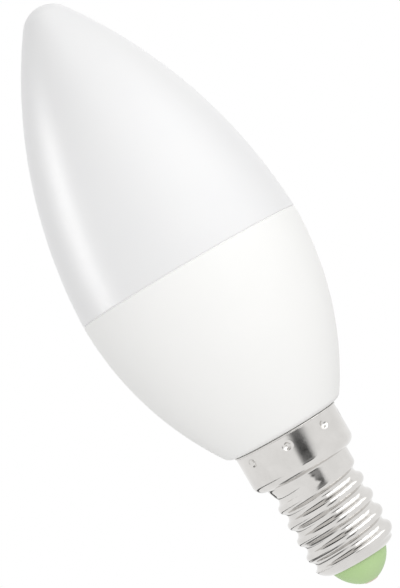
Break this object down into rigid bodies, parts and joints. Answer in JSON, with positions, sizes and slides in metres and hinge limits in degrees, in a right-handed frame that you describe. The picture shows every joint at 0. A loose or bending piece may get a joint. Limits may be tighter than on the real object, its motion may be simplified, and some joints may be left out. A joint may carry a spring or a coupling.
{
  "type": "candle bulb",
  "caption": "LED candle bulb with a frosted flame-shaped diffuser on a white tapered housing, a staked metal screw cap with a rolled right-hand thread, and an insulated end contact.",
  "frame": {"origin": "centre of the end contact's flat crown, the lowest point of the bulb", "axes": "+Z along the bulb's axis from the end contact to the tip of the flame; +X and +Y square to it"},
  "size_m": [0.037, 0.037, 0.1008],
  "materials": {
    "frosted_diffuser": "satin frosted white, opaque",
    "white_housing": "matte warm white moulded plastic",
    "nickel_cap": "satin nickel plate on drawn sheet",
    "green_insulator": "pale green moulded plastic",
    "contact_metal": "plated crown, slightly dull"
  },
  "bodies": {
    "root": {"diffuser": "frosted_diffuser", "housing": "white_housing", "screw_cap": "nickel_cap", "insulator": "green_insulator", "centre_contact": "contact_metal"}
  },
  "joints": []
}
